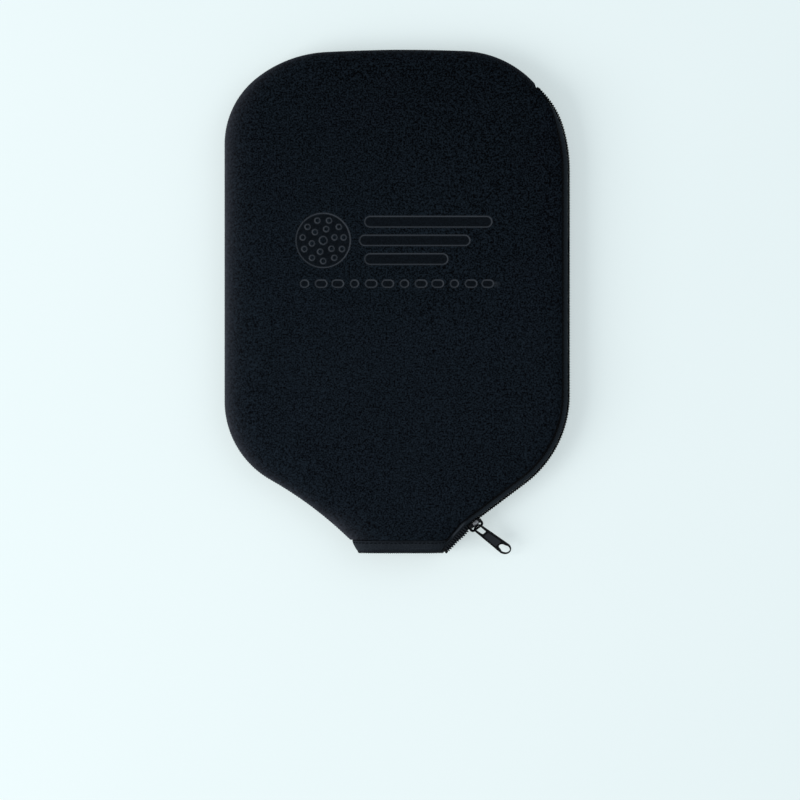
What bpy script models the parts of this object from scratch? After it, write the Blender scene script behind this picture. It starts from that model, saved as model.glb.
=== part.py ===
"""Paddle case: a zipped neoprene cover for a racket-sports paddle, lying flat.

Metres, +Z up. The case lies on its back panel: X is its width, +Y runs to the closed top,
-Y to the open neck. The origin is under the middle of the whole case, on the rest plane.
"""

import math

import bmesh
import bpy
from mathutils import Matrix, Vector

MM = 0.001

# ---- driving dimensions -------------------------------------------------------------
CASE_HALF_WIDTH = 102.6 * MM
CASE_TOP = 150.0 * MM
CASE_THICK = 21.0 * MM
MID = CASE_THICK / 2
PANEL_THICK = 3.0 * MM
GAP = 0.35 * MM                    # clearance between touching pieces

NECK_Y = -142.0 * MM               # where the panels end and the mouth hem begins
HEM_Y = -148.5 * MM                # lower edge of the mouth hem
NECK_LEFT = -27.0 * MM

LEFT_LOW_CENTRE = Vector((-48.7, -58.8)) * MM
LEFT_LOW_RADIUS = CASE_HALF_WIDTH + LEFT_LOW_CENTRE.x
NECK_BOW = 1.9 * MM                # hollow of the sewn edge between the low corner and the neck
LEFT_SIDE_CENTRE = Vector((-52.0, 93.5)) * MM
LEFT_SIDE_RADIUS = CASE_HALF_WIDTH + LEFT_SIDE_CENTRE.x
LEFT_CROWN_TURN = math.radians(128.0)
LEFT_CROWN_RADIUS = 72.5 * MM
RIGHT_TOP_CENTRE = Vector((37.7, 89.1)) * MM
RIGHT_TOP_RADIUS = 60.2 * MM
NOTCH_ANGLE = math.radians(42.6)   # where the sewn seam stops and the zip begins

ZIP_ANGLE = math.radians(37.0)     # slope of the straight zip run beside the neck
ZIP_LOW_CENTRE = Vector((36.6, -55.0)) * MM
ZIP_LOW_RADIUS = CASE_HALF_WIDTH - ZIP_LOW_CENTRE.x
ZIP_START = Vector((82.8, 126.9)) * MM
ZIP_TOP_CENTRE = Vector((49.3, 89.0)) * MM
ZIP_TOP_RADIUS = 51.7 * MM
ZIP_SIDE_TURN = math.radians(16.0) # where the top corner's tight arc meets its easy one
ZIP_SIDE_RADIUS = 92.9 * MM
ZIP_TAIL_END = Vector((33.0, -143.7)) * MM

SEWN_CROWN = 12.5 * MM             # how far in the sewn edge takes to reach full height
ZIP_BAND = 4.6 * MM                # zip wall seen outside the panel's edge
ZIP_BAND_START = 0.8 * MM          # the same at the notch
ZIP_BAND_GROWTH = 38.0 * MM        # length over which it grows
COIL_THICK = 1.5 * MM
COIL_INNER = 0.75 * MM             # half the slot between the two coil rows
COIL_OUTER = 3.1 * MM
TAPE_THICK = 0.5 * MM
TAPE_IN = 2.1 * MM                 # middle of the tape wall, inside the coils
TAPE_LIFT = 5.0 * MM               # half height of the tape wall where it meets a panel
TAPE_TUCK = 10.0 * MM              # inner edge of the tape under the panel

SLIDER_LENGTH = 9.4 * MM
PARTING = SLIDER_LENGTH * 0.62     # from the slider's middle to where the zip's tail bends
SLIDER_PLATE = 1.0 * MM
SLIDER_HALF = 4.3 * MM             # half width of the slider across the zip
BRIDGE_OUT = 4.0 * MM              # bridge bar's axis outside the coils' outer face
BRIDGE_RADIUS = 0.5 * MM

PULL_NEAR = 1.75 * MM              # how far the eye reaches inside the bridge bar
PULL_TIP = 24.7 * MM
PULL_THICK = 1.0 * MM
PULL_HALF_NEAR = 3.1 * MM
PULL_HALF_TIP = 4.2 * MM
PULL_HEADING = math.radians(-37.6)
PULL_DROOP = math.radians(12.0)
PULL_TWIST = math.radians(35.0)

BLACK = (0.010, 0.012, 0.015, 1)
BLACK_TAPE = (0.016, 0.019, 0.023, 1)
BLACK_METAL = (0.022, 0.024, 0.027, 1)


# ---- scene and materials ------------------------------------------------------------
for old in list(bpy.data.objects):
    bpy.data.objects.remove(old, do_unlink=True)


def material(name, colour, roughness, metallic=0.0):
    made = bpy.data.materials.new(name)
    made.use_nodes = True
    shader = made.node_tree.nodes["Principled BSDF"]
    shader.inputs["Base Color"].default_value = colour
    shader.inputs["Roughness"].default_value = roughness
    shader.inputs["Metallic"].default_value = metallic
    made.diffuse_color = colour
    return made


KNIT = material("neoprene_knit", BLACK, 0.85)
TAPE = material("zip_tape", BLACK_TAPE, 0.8)
COIL = material("nylon_coil", BLACK_TAPE, 0.4)
BINDING = material("hem_binding", BLACK_TAPE, 0.8)
THREAD = material("sewing_thread", BLACK_TAPE, 0.6)
ENAMEL = material("black_enamel", BLACK_METAL, 0.3, 0.6)


# ---- outlines -----------------------------------------------------------------------
def arc(centre, radius, start, end, steps):
    """Points on an arc, angles in radians, both ends included."""
    points = []
    for i in range(steps + 1):
        angle = start + (end - start) * i / steps
        points.append(centre + radius * Vector((math.cos(angle), math.sin(angle))))
    return points


def line(start, end, steps):
    """Points on a straight line, both ends left out."""
    return [start.lerp(end, i / steps) for i in range(1, steps)]


def bowed(start, end, bow, steps):
    """Points between two ends, both left out, on a shallow curve that swells to the right."""
    across = Vector(((end - start).y, -(end - start).x)).normalized()
    shares = [i / steps for i in range(1, steps)]
    return [start.lerp(end, share) + across * 4 * bow * share * (1 - share) for share in shares]


def eased_corner(centre, radius, turn, next_radius, start, end, steps):
    """Two arcs that meet without a kink at the angle turn, the second with next_radius."""
    towards = Vector((math.cos(turn), math.sin(turn)))
    next_centre = centre + towards * (radius - next_radius)
    first = arc(centre, radius, start, turn, steps)
    return first + arc(next_centre, next_radius, turn, end, steps)[1:]


def sewn_path():
    """The closed seam, from the left of the neck, up the left side, over the top to the notch."""
    neck = Vector((NECK_LEFT, NECK_Y))
    low = arc(LEFT_LOW_CENTRE, LEFT_LOW_RADIUS, math.radians(240), math.pi, 8)
    top = eased_corner(LEFT_SIDE_CENTRE, LEFT_SIDE_RADIUS, LEFT_CROWN_TURN, LEFT_CROWN_RADIUS,
                       math.pi, math.radians(93), 7)
    right = arc(RIGHT_TOP_CENTRE, RIGHT_TOP_RADIUS, math.radians(88), NOTCH_ANGLE, 7)
    middle = Vector(((top[-1].x + right[0].x) / 2, CASE_TOP))
    crown = bowed(top[-1], middle, -0.2 * MM, 4) + [middle] + bowed(middle, right[0], -0.2 * MM, 4)
    return [neck] + bowed(neck, low[0], NECK_BOW, 6) + low + line(low[-1], top[0], 8) + top + crown + right


def straight_run():
    """The two ends of the zip's straight run: at the slider's closed place, and at the corner."""
    corner = ZIP_LOW_CENTRE + ZIP_LOW_RADIUS * Vector((math.sin(ZIP_ANGLE), -math.cos(ZIP_ANGLE)))
    along = Vector((math.cos(ZIP_ANGLE), math.sin(ZIP_ANGLE)))
    return corner - along * 38.5 * MM, corner


def zip_path(tail_end, tail_steps):
    """The zip's outer face, from the notch down the right side to the end of its tail."""
    rest, corner = straight_run()
    start = math.radians(46)
    top = [ZIP_START]
    top += eased_corner(ZIP_TOP_CENTRE, ZIP_TOP_RADIUS, ZIP_SIDE_TURN, ZIP_SIDE_RADIUS, start, 0, 7)
    low = arc(ZIP_LOW_CENTRE, ZIP_LOW_RADIUS, 0, ZIP_ANGLE - math.pi / 2, 9)
    parting = rest + (rest - corner).normalized() * PARTING
    run = line(corner, rest, 5) + [rest, parting]
    tail = line(parting, tail_end, tail_steps) + [tail_end]
    return top + line(top[-1], low[0], 8) + low + run + tail


def inward(path):
    """For each point of an open path, the unit direction into the case: to the right of travel."""
    found = []
    for i in range(len(path)):
        run = path[min(i + 1, len(path) - 1)] - path[max(i - 1, 0)]
        found.append(Vector((run.y, -run.x)).normalized())
    return found


# ---- mesh helpers -------------------------------------------------------------------
def add(name, mesh, mat, smooth=True):
    mesh.materials.clear()
    mesh.materials.append(mat)
    for face in mesh.polygons:
        face.use_smooth = smooth
    made = bpy.data.objects.new(name, mesh)
    bpy.context.collection.objects.link(made)
    return made


def loft(name, sections, mat, smooth=True):
    """A closed solid through a row of equal sections, capped at both ends."""
    bm = bmesh.new()
    rings = [[bm.verts.new(point) for point in section] for section in sections]
    count = len(rings[0])
    for a, b in zip(rings, rings[1:]):
        for i in range(count):
            j = (i + 1) % count
            bm.faces.new((a[i], a[j], b[j], b[i]))
    bm.faces.new(rings[0][::-1])
    bm.faces.new(rings[-1])
    return finish(name, bm, mat, smooth)


def finish(name, bm, mat, smooth=True):
    bmesh.ops.recalc_face_normals(bm, faces=bm.faces)
    mesh = bpy.data.meshes.new(name)
    bm.to_mesh(mesh)
    bm.free()
    return add(name, mesh, mat, smooth)


def box(name, low, high, mat):
    bm = bmesh.new()
    low, high = Vector(low), Vector(high)
    bmesh.ops.create_cube(bm, size=1)
    for vert in bm.verts:
        for i in range(3):
            vert.co[i] = low[i] if vert.co[i] < 0 else high[i]
    return finish(name, bm, mat, False)


def prism(name, outline, low, high, mat):
    """An outline in the XY plane, extruded from z = low to z = high."""
    sections = [[(p[0], p[1], z) for p in outline] for z in (low, high)]
    return loft(name, sections, mat, False)


def combine(target, others, operation):
    """Apply a Boolean of each other object to the target, and remove the others."""
    for other in others:
        change = target.modifiers.new("combine", "BOOLEAN")
        change.operation = operation
        change.solver = "EXACT"
        change.object = other
        graph = bpy.context.evaluated_depsgraph_get()
        mesh = bpy.data.meshes.new_from_object(target.evaluated_get(graph))
        target.modifiers.clear()
        target.data = mesh
        bpy.data.objects.remove(other, do_unlink=True)
    return target


def round_edges(made, width, segments=2):
    edge = made.modifiers.new("edges", "BEVEL")
    edge.width = width
    edge.segments = segments
    edge.limit_method = "ANGLE"
    edge.angle_limit = math.radians(40)
    return made


def band_section(point, into, profile, side):
    """Profile points (inward distance, height over the middle plane) at one place of a path."""
    section = []
    for depth, height in profile:
        flat = point + into * depth
        section.append((flat.x, flat.y, MID + side * height))
    return section


def strip(name, path, directions, profile, side, mat, lift=None):
    """A profile swept along the zip's path; lift raises it over the last points of its tail."""
    sections = []
    for i, (point, into) in enumerate(zip(path, directions)):
        raised = lift(i, len(path)) if lift else 0.0
        moved = [(depth, height + raised) for depth, height in profile]
        sections.append(band_section(point, into, moved, side))
    return loft(name, sections, mat)


# ---- neoprene panels ----------------------------------------------------------------
CROWN_STEPS = 6


def quarter(start, span, step):
    """A point of a quarter ellipse that leaves the edge upright and ends level."""
    angle = math.pi / 2 * step / CROWN_STEPS
    return start[0] + span[0] * (1 - math.cos(angle)), start[1] + span[1] * math.sin(angle)


def zip_band(path):
    """Width of the zip wall seen outside the panel, at each point from the notch down."""
    widths, reach = [], 0.0
    for i, point in enumerate(path):
        reach += (point - path[max(i - 1, 0)]).length
        share = min(1.0, reach / ZIP_BAND_GROWTH)
        widths.append(ZIP_BAND_START + (ZIP_BAND - ZIP_BAND_START) * share * share * (3 - 2 * share))
    return widths


def panel_profile(step, band):
    """Outer and inner point of the rim at one step in. band is None where the edge is sewn."""
    top = MID
    inside = MID - PANEL_THICK
    if band is not None:
        outer = quarter((band, 6.4 * MM), (14.0 * MM - band, top - 6.4 * MM), step)
        inner = quarter((band + 2 * MM, 6.0 * MM), (12.0 * MM - band, inside - 6.0 * MM), step)
    else:
        edge = 0.2 * MM
        outer = quarter((0.8 * MM, edge), (SEWN_CROWN, top - edge), step)
        inner = quarter((3.8 * MM, edge), (SEWN_CROWN - 2.6 * MM, inside - edge), step)
    return outer, inner


def panel_reference():
    """Edge points, directions into the case, and the zip band's width (None where sewn)."""
    rest, corner = straight_run()
    parting = rest + (rest - corner).normalized() * PARTING
    neck_right = parting.lerp(ZIP_TAIL_END, (NECK_Y - parting.y) / (ZIP_TAIL_END.y - parting.y))
    sewn = sewn_path()
    zipped = zip_path(neck_right, 4)
    into = inward(sewn) + inward(zipped)
    first = sewn[1] - sewn[0]
    last = zipped[-1] - zipped[-2]
    into[0] = Vector((first.length / first.y, 0))
    into[-1] = Vector((last.length / last.y, 0))
    return sewn + zipped, into, [None] * len(sewn) + zip_band(zipped)


def panel(name, side):
    """A neoprene shell half: rim rings round three sides, a flat face, and an open neck end."""
    path, into, bands = panel_reference()
    bm = bmesh.new()
    rings = {"outer": [], "inner": []}
    for step in range(CROWN_STEPS + 1):
        row = {"outer": [], "inner": []}
        for point, direction, band in zip(path, into, bands):
            places = panel_profile(step, band)
            for key, (depth, height) in zip(("outer", "inner"), places):
                flat = point + direction * depth
                row[key].append(bm.verts.new((flat.x, flat.y, MID + side * height)))
        rings["outer"].append(row["outer"])
        rings["inner"].append(row["inner"])
    count = len(path)
    for key in rings:
        for a, b in zip(rings[key], rings[key][1:]):
            for i in range(count - 1):
                bm.faces.new((a[i], a[i + 1], b[i + 1], b[i]))
        bm.faces.new(rings[key][-1])
    for i in range(count - 1):
        lip_out, lip_in = rings["outer"][0], rings["inner"][0]
        bm.faces.new((lip_out[i], lip_out[i + 1], lip_in[i + 1], lip_in[i]))
    for end in (0, -1):
        for step in range(CROWN_STEPS):
            a, b = rings["outer"][step][end], rings["outer"][step + 1][end]
            c, d = rings["inner"][step + 1][end], rings["inner"][step][end]
            bm.faces.new((a, b, c, d))
    outer_last, inner_last = rings["outer"][-1], rings["inner"][-1]
    bm.faces.new((outer_last[0], outer_last[-1], inner_last[-1], inner_last[0]))
    return finish(name, bm, KNIT)


front_panel = panel("front_panel", 1)
back_panel = panel("back_panel", -1)


# ---- zip ----------------------------------------------------------------------------
TAIL_STEPS = 6
zip_line = zip_path(ZIP_TAIL_END, TAIL_STEPS)
zip_into = inward(zip_line)


def tail_lift(i, count):
    """The two halves part behind the slider, towards the neck."""
    past = max(0, i - (count - 1 - TAIL_STEPS))
    return 1.9 * MM * math.sin(math.pi / 2 * past / TAIL_STEPS)


def tape_profile():
    """A thin wall beside the coil that turns in under the panel's edge."""
    half = TAPE_THICK / 2
    wall = TAPE_IN
    bend = [(wall, 0.8 * MM), (wall, 3.2 * MM), (3.0 * MM, 4.5 * MM), (5.0 * MM, TAPE_LIFT)]
    bend.append((TAPE_TUCK, TAPE_LIFT + 0.2 * MM))
    outer, inner = [], []
    for i, (depth, height) in enumerate(bend):
        a, b = Vector(bend[max(i - 1, 0)]), Vector(bend[min(i + 1, len(bend) - 1)])
        across = Vector((a.y - b.y, b.x - a.x)).normalized() * half
        outer.append((depth + across.x, height + across.y))
        inner.append((depth - across.x, height - across.y))
    return outer + inner[::-1]


coil_profile = [(0, COIL_INNER), (0, COIL_OUTER), (COIL_THICK, COIL_OUTER), (COIL_THICK, COIL_INNER)]

for side, half in ((1, "front"), (-1, "back")):
    strip(half + "_zip_tape", zip_line[1:-1], zip_into[1:-1], tape_profile(), side, TAPE)
    strip(half + "_coil", zip_line[1:-1], zip_into[1:-1], coil_profile, side, COIL, tail_lift)


def stop(name, i, low, high, lift):
    """A small clip over the coil at one point of the zip's path, long along the zip."""
    along = (zip_line[i + 1] - zip_line[i]).normalized()
    into = Vector((along.y, -along.x))
    start = zip_line[i] + along * GAP
    profile = [(0, low + lift), (0, high + lift), (COIL_THICK, high + lift), (COIL_THICK, low + lift)]
    sections = []
    for place in (start, start + along * 2.2 * MM):
        sections.append(band_section(place, into, profile, 1))
    return loft(name, sections, ENAMEL, False)


last = len(zip_line) - 2
tail = tail_lift(last, len(zip_line))
stop("front_end_stop", last, COIL_INNER, COIL_OUTER, tail)
stop("back_end_stop", last, -COIL_OUTER, -COIL_INNER, -tail)
top_into = zip_into[1]
top_run = Vector((-top_into.y, top_into.x))
top_profile = [(0, -COIL_OUTER), (0, COIL_OUTER), (COIL_THICK, COIL_OUTER), (COIL_THICK, -COIL_OUTER)]
top_places = [zip_line[1] - top_run * GAP, zip_line[1] - top_run * 2.4 * MM]
loft("top_stop", [band_section(p, top_into, top_profile, 1) for p in top_places], ENAMEL, False)


# ---- slider and pull ----------------------------------------------------------------
# In the slider's own axes +X runs up the zip, -Y points out of the case, Z is up. Its origin
# is on the coils' outer face, at the middle of the slider.
slider_rest = straight_run()[0]
slider_place = Matrix.Translation((slider_rest.x, slider_rest.y, MID))
slider_place = slider_place @ Matrix.Rotation(ZIP_ANGLE, 4, "Z")


def plate_outline(half_width):
    """A slider plate seen from outside: blunt where the coils part, narrower where they join."""
    end = SLIDER_LENGTH / 2
    return [
        (-end, -half_width * 0.8),
        (-end * 0.55, -half_width),
        (end * 0.5, -half_width * 0.86),
        (end, -half_width * 0.62),
        (end, half_width * 0.62),
        (end * 0.5, half_width * 0.86),
        (-end * 0.55, half_width),
        (-end, half_width * 0.8),
    ]


def slider_plate(name, half_width, outer_face, inner_face):
    """A plate standing across the zip, between two distances out of the case."""
    made = prism(name, plate_outline(half_width), outer_face, inner_face, ENAMEL)
    made.data.transform(Matrix.Rotation(math.radians(90), 4, "X"))
    return made


def slider_body():
    """Two plates, the wedge post that joins them, and the bridge's two feet."""
    outer = slider_plate("slider_body", SLIDER_HALF, GAP, GAP + SLIDER_PLATE)
    inner_at = TAPE_IN + TAPE_THICK / 2 + GAP
    inner = slider_plate("inner_plate", 2.9 * MM, -inner_at - SLIDER_PLATE, -inner_at)
    back = -SLIDER_LENGTH / 2
    post_low = (back + 0.6 * MM, -GAP - 0.3 * MM, -0.4 * MM)
    post_high = (back + 4.4 * MM, inner_at + 0.3 * MM, 0.4 * MM)
    post = box("post", post_low, post_high, ENAMEL)
    parts = [inner, post]
    for edge in (-1, 1):
        near, far = sorted((edge * (COIL_OUTER + GAP), edge * SLIDER_HALF * 0.96))
        low = (-2.6 * MM, -GAP - 0.3 * MM, near)
        high = (0.6 * MM, 0.9 * MM, far)
        parts.append(box("flange", low, high, ENAMEL))
    body = combine(outer, parts, "UNION")
    return round_edges(body, 0.18 * MM)


def bridge():
    """An arched bar over the outer plate, which the pull's eye hangs on."""
    foot_y = -(GAP + SLIDER_PLATE + GAP)
    bar_y = -BRIDGE_OUT
    half = 4.0 * MM
    route = [Vector((-half, foot_y)), Vector((-half, bar_y + 0.9 * MM))]
    route += arc(Vector((-half + 0.9 * MM, bar_y + 0.9 * MM)), 0.9 * MM, math.pi, 1.5 * math.pi, 4)[1:]
    route += arc(Vector((half - 0.9 * MM, bar_y + 0.9 * MM)), 0.9 * MM, 1.5 * math.pi, 2 * math.pi, 4)
    route.append(Vector((half, foot_y)))
    sections = []
    for i, point in enumerate(route):
        run = route[min(i + 1, len(route) - 1)] - route[max(i - 1, 0)]
        across = Vector((run.y, -run.x)).normalized() * BRIDGE_RADIUS
        section = []
        for k in range(12):
            angle = 2 * math.pi * k / 12
            flat = point + across * math.cos(angle)
            section.append((flat.x, flat.y, BRIDGE_RADIUS * math.sin(angle)))
        sections.append(section)
    return loft("slider_bridge", sections, ENAMEL)


def rounded(half_start, start, half_end, end, radius_start, radius_end, steps=5):
    """A tapered outline along +X with rounded corners."""
    corners = [
        (start, -half_start, radius_start, 180),
        (end, -half_end, radius_end, 270),
        (end, half_end, radius_end, 0),
        (start, half_start, radius_start, 90),
    ]
    outline = []
    for x, y, radius, first in corners:
        inset_x = radius if x == start else -radius
        inset_y = radius if y < 0 else -radius
        centre = Vector((x + inset_x, y + inset_y))
        turn = [centre + radius * Vector((math.cos(a), math.sin(a))) for a in
                (math.radians(first + 90 * k / steps) for k in range(steps + 1))]
        outline += turn
    return outline


def pull_tab():
    """A tapered tab with an eye round the bridge, an oval finger hole and sunk faces."""
    mm = MM
    half = PULL_THICK / 2
    outline = rounded(PULL_HALF_NEAR, -PULL_NEAR, PULL_HALF_TIP, PULL_TIP, 2.0 * mm, 4.15 * mm, 7)
    tab = prism("pull_tab", outline, -half, half, ENAMEL)
    eye = rounded(2.2 * mm, -0.85 * mm, 1.9 * mm, 5.2 * mm, 0.8 * mm, 0.9 * mm)
    finger = rounded(2.3 * mm, 17.0 * mm, 3.1 * mm, 24.0 * mm, 2.2 * mm, 3.05 * mm)
    field = rounded(2.1 * mm, 6.4 * mm, 2.8 * mm, 16.0 * mm, 0.5 * mm, 0.6 * mm, 3)
    cuts = [prism("eye", eye, -1 * mm, 1 * mm, ENAMEL), prism("finger", finger, -1 * mm, 1 * mm, ENAMEL)]
    sunk = 0.18 * mm
    cuts.append(prism("field_up", field, half - sunk, 1 * mm, ENAMEL))
    cuts.append(prism("field_down", field, -1 * mm, sunk - half, ENAMEL))
    tab = combine(tab, cuts, "DIFFERENCE")
    return round_edges(tab, 0.16 * mm)


slider_body().matrix_world = slider_place
bridge().matrix_world = slider_place

bridge_axis = slider_place @ Vector((0, -BRIDGE_OUT, 0))
pull_place = Matrix.Translation(bridge_axis) @ Matrix.Rotation(PULL_HEADING, 4, "Z")
pull_place = pull_place @ Matrix.Rotation(PULL_DROOP, 4, "Y") @ Matrix.Rotation(PULL_TWIST, 4, "X")
pull_tab().matrix_world = pull_place


# ---- mouth hem ----------------------------------------------------------------------
def mouth_arch(y, left, right, crown, out):
    """Half the mouth seen along Y: points from the left end, up, across and down to the right."""
    points = []
    for i in range(5):
        angle = math.pi / 2 * i / 4
        points.append((left + out + crown * (1 - math.cos(angle)), y, (MID - out) * math.sin(angle)))
    for i in range(4, -1, -1):
        angle = math.pi / 2 * i / 4
        points.append((right - out - crown * (1 - math.cos(angle)), y, (MID - out) * math.sin(angle)))
    return points


def hem(name, side):
    """A folded binding that carries on from the panel's end to the mouth."""
    sections = []
    ends = ((NECK_Y - GAP, NECK_LEFT + 0.9 * MM, 31.0 * MM), (HEM_Y, -22.8 * MM, 27.9 * MM))
    for y, left, right in ends:
        outer = mouth_arch(y, left, right, 11 * MM, 0.0)
        inner = mouth_arch(y, left, right, 9 * MM, 2.2 * MM)
        section = []
        for x, depth, height in outer + inner[::-1]:
            section.append((x, depth, MID + side * (height + 0.2 * MM * (1 - height / MID))))
        sections.append(section)
    return loft(name, sections, BINDING)


hem("front_hem_binding", 1)
hem("back_hem_binding", -1)


# ---- seams --------------------------------------------------------------------------
def thread_bead(name, path, place, side, radius, mat=THREAD):
    """A row of stitching as one slim bead beside a path, place = (inward distance, height)."""
    sections = []
    for point, into in zip(path, inward(path)):
        section = []
        for k in range(6):
            angle = 2 * math.pi * k / 6
            depth = place[0] + radius * math.cos(angle)
            section.append((depth, place[1] + radius * math.sin(angle)))
        sections.append(band_section(point, into, section, side))
    return loft(name, sections, mat)


sewn = sewn_path()
thread_bead("closed_seam_thread", sewn[1:-1], (0.2 * MM, 0), 1, 0.35 * MM)

notch = sewn[-1]
notch_run = (ZIP_START - notch).normalized()
notch_into = Vector((notch_run.y, -notch_run.x))
tack_profile = [(0, -2.4 * MM), (0, 2.4 * MM), (0.3 * MM, 2.4 * MM), (0.3 * MM, -2.4 * MM)]
tack_places = [notch + notch_run * 0.8 * MM, notch + notch_run * 2.0 * MM]
loft("notch_bar_tack", [band_section(p, notch_into, tack_profile, 1) for p in tack_places], THREAD, False)


def lining_height(depth, start, span, low):
    """Height of a panel's inner face over the middle plane, at a distance in from its edge."""
    share = min(1.0, max(0.0, (depth - start) / span))
    return low + (MID - PANEL_THICK - low) * math.sin(math.acos(1 - share))


def hem_stitching(name, side):
    """A row of stitches along the panel's inner face, just above the hem, as one slim bead."""
    across = NECK_Y + 2.0 * MM
    path, into, _ = panel_reference()
    left_slope, right_slope = path[1] - path[0], path[-2] - path[-1]
    left = path[0] + left_slope * (across - NECK_Y) / left_slope.y
    right = path[-1] + right_slope * (across - NECK_Y) / right_slope.y
    sections = []
    for i in range(19):
        x = left.x + 12.0 * MM + (right.x - left.x - 32.0 * MM) * i / 18
        from_left = (x - left.x) * left_slope.y / left_slope.length
        from_right = (right.x - x) * right_slope.y / right_slope.length
        height = min(lining_height(from_left, 3.8 * MM, SEWN_CROWN - 2.6 * MM, 0.2 * MM),
                     lining_height(from_right, 6.6 * MM, 7.4 * MM, 6.0 * MM))
        middle = height - GAP - 0.25 * MM
        section = []
        for k in range(6):
            angle = 2 * math.pi * k / 6
            rise = middle + 0.2 * MM * math.sin(angle)
            section.append((x, across + 0.2 * MM * math.cos(angle), MID + side * rise))
        sections.append(section)
    return loft(name, sections, THREAD)


for side, half in ((1, "front"), (-1, "back")):
    hem_stitching(half + "_hem_stitching", side)
    thread_bead(half + "_zip_stitching", zip_line[2:-2], (4.0 * MM, TAPE_LIFT + 0.55 * MM), side, 0.2 * MM)
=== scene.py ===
# %% [markdown]
# # A zipped neoprene paddle case
# The case is two padded panels, sewn together up one side and over the top, and joined by a zip
# down the other side. This lesson dresses a plain solid model of it. The solid model is loaded as
# a fixed frame: nothing in it moves, and every piece made here takes its place from it.

# %% Load the frame
import math
import random

import bmesh
import bpy
import numpy as np
from mathutils import Matrix, Vector, geometry


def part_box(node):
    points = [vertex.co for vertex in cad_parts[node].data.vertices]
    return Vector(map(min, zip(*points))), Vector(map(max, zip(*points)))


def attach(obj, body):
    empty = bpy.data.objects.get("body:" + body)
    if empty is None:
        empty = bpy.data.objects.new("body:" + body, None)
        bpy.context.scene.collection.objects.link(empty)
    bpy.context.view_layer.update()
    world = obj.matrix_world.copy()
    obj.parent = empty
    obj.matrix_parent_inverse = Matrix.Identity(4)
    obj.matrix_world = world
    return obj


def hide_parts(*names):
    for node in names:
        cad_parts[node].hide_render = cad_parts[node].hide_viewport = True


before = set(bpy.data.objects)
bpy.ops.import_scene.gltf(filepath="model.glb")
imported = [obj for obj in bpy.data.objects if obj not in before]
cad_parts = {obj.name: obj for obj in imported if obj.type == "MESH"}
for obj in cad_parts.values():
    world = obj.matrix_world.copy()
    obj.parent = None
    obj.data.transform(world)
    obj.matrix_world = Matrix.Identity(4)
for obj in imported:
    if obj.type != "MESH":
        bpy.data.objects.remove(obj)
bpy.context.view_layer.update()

MM = 0.001
HALVES = ((1, "front"), (-1, "back"))
rng = random.Random(7)
print("frame loaded:", len(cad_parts), "nodes")

# %% [markdown]
# ## The camera
# The case is seen from straight above, a long way off, so its walls hardly show. The camera looks
# at a point a little below the case's middle, which leaves room under the neck.

# %% Camera
FRAME_WIDTH = 475 * MM             # what the camera's view spans, half way up the case
LENS_MM = 110.0
SENSOR_MM = 36.0
LOOK_AT = Vector((1.8, -58.1)) * MM

camera = bpy.data.objects.new("camera", bpy.data.cameras.new("camera"))
bpy.context.collection.objects.link(camera)
camera.data.lens = LENS_MM
camera.data.sensor_width = SENSOR_MM
camera.data.clip_start = 0.05
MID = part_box("front_panel")[1].z / 2    # the height of the plane between the front and the back
camera_height = FRAME_WIDTH * LENS_MM / SENSOR_MM + MID
camera.location = (LOOK_AT.x, LOOK_AT.y, camera_height)
bpy.context.scene.camera = camera
print("camera height", round(camera_height, 3), "m")


# %% [markdown]
# ## Writing shaders as sums
# A material's pattern is arithmetic: waves, products, thresholds. Wiring each Math node by hand
# hides the formula, so a small class lets Python's own operators add the nodes.

# %% A value that turns operators into Math nodes
class Value:
    """One number that varies over a surface."""

    def __init__(self, finish, socket):
        self.finish = finish
        self.socket = socket

    def __add__(self, other):
        return self.finish.maths("ADD", self, other)

    __radd__ = __add__

    def __mul__(self, other):
        return self.finish.maths("MULTIPLY", self, other)

    __rmul__ = __mul__

    def __sub__(self, other):
        return self.finish.maths("SUBTRACT", self, other)

    def __rsub__(self, other):
        return self.finish.maths("SUBTRACT", other, self)

    def __truediv__(self, other):
        return self.finish.maths("DIVIDE", self, other)

    def sine(self):
        return self.finish.maths("SINE", self)

    def size(self):
        return self.finish.maths("ABSOLUTE", self)

    def clamped(self):
        return self.finish.maths("ADD", self, 0.0, use_clamp=True)

    def above(self, low, high):
        """0 below low, 1 above high, straight in between."""
        return ((self - low) / (high - low)).clamped()


# %% A material being built
MIX_SHARE = 0                      # the Mix node has sockets for every kind of data; these are
MIX_FIRST = 6                      # the places of the ones that mix two colours
MIX_SECOND = 7
MIX_RESULT = 2


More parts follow.
